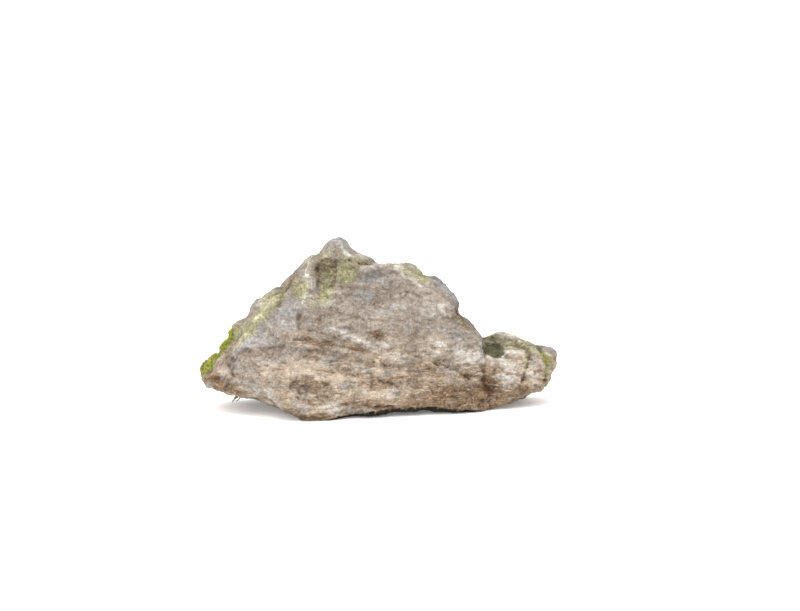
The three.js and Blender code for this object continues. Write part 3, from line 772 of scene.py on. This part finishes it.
# Painted shade, dark olive, in the deep pocket.
colour = laid_over(colour, times(skin(tree, "pocket_painted_shade"), 0.9), POCKET_SHADE_TONES)
# Painted shadow: the gap under the front edge is painted near-black.
colour = mix_colour(tree, times(skin(tree, "painted_shadow_gap"), 0.95), colour, GAP_PAINTED_SHADOW)
rock_grain = grain_node(tree, place, 1300.0, 2.2)
colour = mix_colour(tree, 1.0, colour, rock_grain.outputs["Shade"], "MULTIPLY")
tree.links.new(colour, rock_shader.inputs["Base Color"])
gloss = math_node(tree, "MULTIPLY_ADD", specks, 0.2, 0.78)
tree.links.new(gloss, rock_shader.inputs["Roughness"])
rock_shader.inputs["Specular IOR Level"].default_value = 0.25
grain_height = math_node(tree, "MULTIPLY_ADD", specks, 0.7, rock_grain.outputs["Height"])
grain_height = math_node(tree, "SUBTRACT", grain_height, times(in_pore, 0.4))
GRAIN_BUMP = 0.0009
bump = add_node(tree, "ShaderNodeBump", Strength=1.0, Distance=GRAIN_BUMP, Height=grain_height)
tree.links.new(bump.outputs["Normal"], rock_shader.inputs["Normal"])
stone.data.materials.append(rock)
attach(stone, "root")
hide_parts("stone")


# The moss: three cushions of small leafy shoots, each a bent stem wrapped in pointed leaves, over a low felt
# of their own dead stems. They root on the stone, fill the frame's pads and thin out round them.
SHOOT_LENGTH_MM = 4.0
SHOOT_BEND_MM = 0.7
STEM_RADIUS_MM = 0.12
STEM_PIECES = 3
STEM_SIDES = 3
LEAVES_PER_SHOOT = 12
LEAF_TURN = 2.4  # radians round the stem from one leaf to the next
LEAF_MM = (1.05, 0.38, 0.09)  # length, width, thickness
SHOOTS_PER_MM2 = 1.3
SEEDLINGS_PER_MM2 = 0.8
SEEDLINGS_REACH_MM = 6  # how far from a cushion they come up
FELT_SHARE = 0.4  # how much of the cushion's height the felt fills
FELT_ROOTS_MM = 0.6  # how deep it grips into the skin


def leafy_shoot():
    """Corners and faces of one shoot that grows from the origin along +Z, in mm."""
    rng = random.Random(5)
    corners, faces = [], []
    for i in range(STEM_PIECES + 1):
        t = i / STEM_PIECES
        thin = STEM_RADIUS_MM * (1 - 0.7 * t)
        bent = SHOOT_BEND_MM * t * t
        for side in range(STEM_SIDES):
            turn = side * math.tau / STEM_SIDES
            corners.append((bent + math.cos(turn) * thin, math.sin(turn) * thin, SHOOT_LENGTH_MM * 0.9 * t))
    for i in range(STEM_PIECES):
        for j in range(STEM_SIDES):
            a = STEM_SIDES * i + j
            b = STEM_SIDES * i + (j + 1) % STEM_SIDES
            faces += [(a, b, b + STEM_SIDES), (a, b + STEM_SIDES, a + STEM_SIDES)]
    faces += [(0, 2, 1), (len(corners) - 3, len(corners) - 2, len(corners) - 1)]
    length, width, thickness = LEAF_MM
    for leaf in range(LEAVES_PER_SHOOT):
        rise = leaf / (LEAVES_PER_SHOOT - 1)
        up_stem = 0.2 + 0.65 * rise
        root = Vector((SHOOT_BEND_MM * up_stem**2, 0, SHOOT_LENGTH_MM * up_stem))
        open_angle = math.radians(62 - 38 * rise + rng.uniform(-12, 12))
        turn = leaf * LEAF_TURN + rng.uniform(-0.3, 0.3)
        size = (0.65 + 0.5 * math.sin(math.pi * (0.2 + 0.75 * rise))) * rng.uniform(0.8, 1.15)
        swing = Matrix.Rotation(turn, 3, "Z") @ Matrix.Rotation(open_angle, 3, "Y")
        shape = [
            (0, 0, 0),
            (0, width / 2, length * 0.4),
            (thickness, 0, length * 0.4),
            (0, -width / 2, length * 0.4),
            (-thickness, 0, length * 0.45),
            (thickness * 2.2, 0, length),
        ]
        first = len(corners)
        corners += [tuple(root + swing @ (Vector(c) * size)) for c in shape]
        for a, b in ((1, 2), (2, 3), (3, 4), (4, 1)):
            faces += [(first, first + b, first + a), (first + a, first + b, first + 5)]
    return np.array(corners), np.array(faces)


FACES_OUT = -0.15  # a pad's triangle that turns inward by more than this bears no shoots
HANGS_OVER = -0.3  # skin that turns down by more than this bears no seedlings


def outer_spots(node, seed):
    """Random spots on the side of a pad that faces away from the stone: (place, normal), in mm."""
    rng = random.Random(seed)
    middle_of_stone = (Vector(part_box("stone")[0]) + Vector(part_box("stone")[1])) / 2
    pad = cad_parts[node].data
    spots = []
    for triangle in pad.polygons:
        a, b, c = (pad.vertices[i].co for i in triangle.vertices)
        outward = (triangle.center - middle_of_stone).normalized()
        if triangle.normal.dot(outward) < FACES_OUT:
            continue
        count = triangle.area * MM_IN_A_METRE**2 * SHOOTS_PER_MM2
        for _ in range(int(count) + (rng.random() < count % 1)):
            u, v = rng.random(), rng.random()
            if u + v > 1:
                u, v = 1 - u, 1 - v
            spots.append(((a + (b - a) * u + (c - a) * v) * MM_IN_A_METRE, triangle.normal.copy()))
    return spots


def seedling_spots(node, seed):
    """Random spots on the stone's skin round a cushion, fewer further out: (place, normal), in mm."""
    rng = random.Random(seed)
    pad = points_of(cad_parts[node], "co") * MM_IN_A_METRE
    low, high = pad.min(0) - SEEDLINGS_REACH_MM, pad.max(0) + SEEDLINGS_REACH_MM
    near = np.all((moved > low) & (moved < high), axis=1)
    skin_per_point = (SKIN_GRAIN * MM_IN_A_METRE) ** 2
    spots = []
    for place, normal in zip(moved[near], facing[near]):
        gap = np.linalg.norm(pad - place, axis=1).min()
        chance = SEEDLINGS_PER_MM2 * skin_per_point * max(0, 1 - gap / SEEDLINGS_REACH_MM)
        if rng.random() < chance and normal[2] > HANGS_OVER:
            spots.append((Vector(place), Vector(normal)))
    return spots


shoot_corners, shoot_faces = leafy_shoot()
skin_points = kdtree.KDTree(len(moved))
for i, point in enumerate(moved):
    skin_points.insert(point, i)
skin_points.balance()


def triangles_piece(name, corners_mm, faces):
    """A new piece of loose triangles, from lists of arrays of corners and faces."""
    mesh = bpy.data.meshes.new(name)
    mesh.from_pydata((np.vstack(corners_mm) / MM_IN_A_METRE).tolist(), [], np.vstack(faces).tolist())
    piece = bpy.data.objects.new(name, mesh)
    bpy.context.scene.collection.objects.link(piece)
    return piece


SHOOTS_SUNK = 0.75  # how much of a cushion's shoot stands in the pad
SEEDLINGS_SUNK = 0.15
SEEDLINGS_SIZE = 0.6  # beside the shoots of the cushion
FELT_LUMPS_MM = 2.5
FELT_AGE = 0.6  # from 0, fresh, to 1, dead
FELT_HEIGHT = 0.2  # from 0, the root of a shoot, to 1, its tip


def moss_cushion(node, name, seed, vigour, up_slope):
    """One cushion in place of a pad of the frame. Vigour is its shoots' length, up_slope how they lie."""
    rng = random.Random(seed)
    felt = copy_of_node(node, name + "_felt")
    finer = felt.modifiers.new("finer", "SUBSURF")
    finer.subdivision_type = "SIMPLE"
    finer.levels = finer.render_levels = 2
    bpy.ops.object.modifier_apply(modifier="finer")
    felt_points = points_of(felt, "co") * MM_IN_A_METRE
    lump_grid = (felt_points / FELT_LUMPS_MM + seed).tolist()
    uneven = [noise.fractal(p, *ROLLING, 3) for p in lump_grid]
    for i, point in enumerate(felt_points):
        _, nearest_skin, _ = skin_points.find(point)
        over_skin = (point - moved[nearest_skin]) @ facing[nearest_skin]
        lower = over_skin * (1 - FELT_SHARE) + FELT_ROOTS_MM - 0.5 * uneven[i]
        felt_points[i] -= facing[nearest_skin] * lower
    move_points(felt, felt_points)
    corners, faces, age, height = [], [], [], []
    spots = [(*spot, vigour, SHOOTS_SUNK) for spot in outer_spots(node, seed + 1)]
    spots += [(*spot, vigour * SEEDLINGS_SIZE, SEEDLINGS_SUNK) for spot in seedling_spots(node, seed + 2)]
    for spot, normal, size, sunk in spots:
        patch = noise.noise(spot / 4 + Vector((seed, 0, 0)))
        size *= rng.uniform(0.3, 1.5) + 0.8 * patch
        lean = Vector([rng.uniform(-0.6, 0.6) for _ in range(3)])
        way = (normal * 0.8 + Vector(up_slope) * rng.uniform(-0.4, 0.9) + lean).normalized()
        spun = Matrix.Rotation(rng.uniform(0, math.tau), 3, "Z")
        turned = way.to_track_quat("Z", "Y").to_matrix() @ spun
        root = spot - way * SHOOT_LENGTH_MM * size * sunk * rng.uniform(0.85, 1.1)
        corners.append(shoot_corners @ (np.array(turned).T * size) + np.array(root))
        faces.append(shoot_faces + len(shoot_corners) * len(faces))
        age += [min(1, max(0, 0.5 - 1.1 * patch + rng.uniform(-0.4, 0.4)))] * len(shoot_corners)
        height += (shoot_corners[:, 2] / SHOOT_LENGTH_MM).tolist()
    shoots = triangles_piece(name, corners, faces)
    keep_on_skin(shoots, "age", age)
    keep_on_skin(shoots, "height", height)
    keep_on_skin(felt, "age", [FELT_AGE] * len(felt.data.vertices))
    keep_on_skin(felt, "height", [FELT_HEIGHT] * len(felt.data.vertices))
    shoots.data.materials.append(moss)
    felt.data.materials.append(moss)
    pick_only(shoots)
    felt.select_set(True)
    bpy.ops.object.join()
    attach(shoots, "root")
    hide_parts(node)


moss = bpy.data.materials.new("green_moss")
moss.use_nodes = True
tree = moss.node_tree
moss_shader = tree.nodes["Principled BSDF"]
place = tree.nodes.new("ShaderNodeTexCoord").outputs["Object"]
LEAF_AGES = [
    (0.0, (0.20, 0.31, 0.035)),
    (0.25, (0.39, 0.44, 0.055)),
    (0.5, (0.42, 0.40, 0.09)),
    (0.75, (0.28, 0.24, 0.09)),
    (1.0, (0.22, 0.15, 0.09)),
]
ROOT_TO_TIP = [(0.0, (0.35, 0.3, 0.22)), (0.45, (0.8, 0.78, 0.7)), (0.95, (1.2, 1.2, 1.1))]
LEAF_BUMP = 0.0002
leaf_colour = ramp(tree, skin(tree, "age"), LEAF_AGES)
root_to_tip = ramp(tree, skin(tree, "height"), ROOT_TO_TIP)
leaf_colour = mix_colour(tree, 1.0, leaf_colour, root_to_tip, "MULTIPLY")
leaf_grain = grain_node(tree, place, 900.0, 0.8)
leaf_colour = mix_colour(tree, 1.0, leaf_colour, leaf_grain.outputs["Shade"], "MULTIPLY")
tree.links.new(leaf_colour, moss_shader.inputs["Base Color"])
moss_shader.inputs["Roughness"].default_value = 0.62
moss_shader.inputs["Specular IOR Level"].default_value = 0.3
leaf_height = leaf_grain.outputs["Height"]
leaf_bump = add_node(tree, "ShaderNodeBump", Strength=0.4, Distance=LEAF_BUMP, Height=leaf_height)
tree.links.new(leaf_bump.outputs["Normal"], moss_shader.inputs["Normal"])

moss_cushion("moss_left_tip", "moss_on_left_tip", 11, 0.8, (0.75, -0.1, 0.6))
moss_cushion("moss_left_slope", "moss_on_left_slope", 23, 0.75, (0.45, -0.1, 0.85))
moss_cushion("moss_right_end", "moss_on_right_end", 37, 0.25, (0.4, -0.3, -0.7))


# The rootlets: a few dry threads of moss and grass that hang from the underside of the left end, where they
# have lost their soil. Each is a tapering tube that hooks to the left, and some bear a dead shoot.
ROOTLET_COUNT = 9
ROOTLET_RADIUS = 0.0004
ROOTLET_WIGGLE = 0.0008
ROOTLET_SUNK = 0.0012  # how far each starts inside the stone
SHOOTS_ON_ROOTLETS = 5
DEAD_SHOOT_SIZE = 0.42  # beside a shoot of the cushions
low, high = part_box("rootlets")
rng = random.Random(3)
strands = []
ends = []
for _ in range(ROOTLET_COUNT):
    from_left = rng.uniform(0.5, 1.0)
    start_x = low.x + (high.x - low.x) * from_left
    start = Vector((start_x, rng.uniform(low.y, high.y), high.z + ROOTLET_SUNK))
    bpy.ops.curve.primitive_bezier_curve_add()
    thread = bpy.context.object
    thread.data.bevel_depth = ROOTLET_RADIUS * rng.uniform(0.6, 1.1)
    thread.data.bevel_resolution = 1
    thread.data.resolution_u = 6
    thread.data.use_fill_caps = True
    spline = thread.data.splines[0]
    spline.bezier_points.add(2)  # between its root and its tip
    reach = rng.uniform(0.7, 1.0)
    sideways = (start.x - low.x) * rng.uniform(0.5, 1.0)
    for i, point in enumerate(spline.bezier_points):
        t = i / (len(spline.bezier_points) - 1)
        wiggle = Vector((rng.uniform(-1, 1), rng.uniform(-0.6, 0.6), rng.uniform(-0.5, 0.5)))
        hang = Vector((sideways * t**1.6, 0, (start.z - low.z) * reach * t**0.8))
        point.co = start + wiggle * ROOTLET_WIGGLE * t - hang
        point.handle_left_type = point.handle_right_type = "AUTO"
        point.radius = 1 - 0.6 * t
    ends.append(spline.bezier_points[-2].co * MM_IN_A_METRE)
    pick_only(thread)
    bpy.ops.object.convert(target="MESH")
    strands.append(bpy.context.object)
dead_corners, dead_faces = [], []
for end in ends[:SHOOTS_ON_ROOTLETS]:
    way = Vector((rng.uniform(-1, 0.2), rng.uniform(-0.4, 0.4), rng.uniform(-0.8, 0.2))).normalized()
    turned = np.array(way.to_track_quat("Z", "Y").to_matrix())
    dead_corners.append(shoot_corners @ turned.T * DEAD_SHOOT_SIZE + np.array(end))
    dead_faces.append(shoot_faces + len(shoot_corners) * len(dead_faces))
strands.append(triangles_piece("dead_shoots", dead_corners, dead_faces))
pick_only(strands[0])
for thread in strands:
    thread.select_set(True)
bpy.ops.object.join()
rootlets = bpy.context.object
rootlets.name = "hanging_rootlets"
dry_root = bpy.data.materials.new("dry_root")
dry_root.use_nodes = True
tree = dry_root.node_tree
root_shader = tree.nodes["Principled BSDF"]
place = tree.nodes.new("ShaderNodeTexCoord").outputs["Object"]
ROOT_TONES = [(0.35, (0.06, 0.045, 0.02)), (0.5, (0.15, 0.115, 0.05)), (0.65, (0.25, 0.21, 0.10))]
root_colour = ramp(tree, noise_node(tree, place, 500, 3), ROOT_TONES)
root_grain = grain_node(tree, place, 2200.0, 1.0)
root_colour = mix_colour(tree, 1.0, root_colour, root_grain.outputs["Shade"], "MULTIPLY")
tree.links.new(root_colour, root_shader.inputs["Base Color"])
root_shader.inputs["Roughness"].default_value = 0.8
rootlets.data.materials.clear()
rootlets.data.materials.append(dry_root)
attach(rootlets, "root")
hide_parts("rootlets")
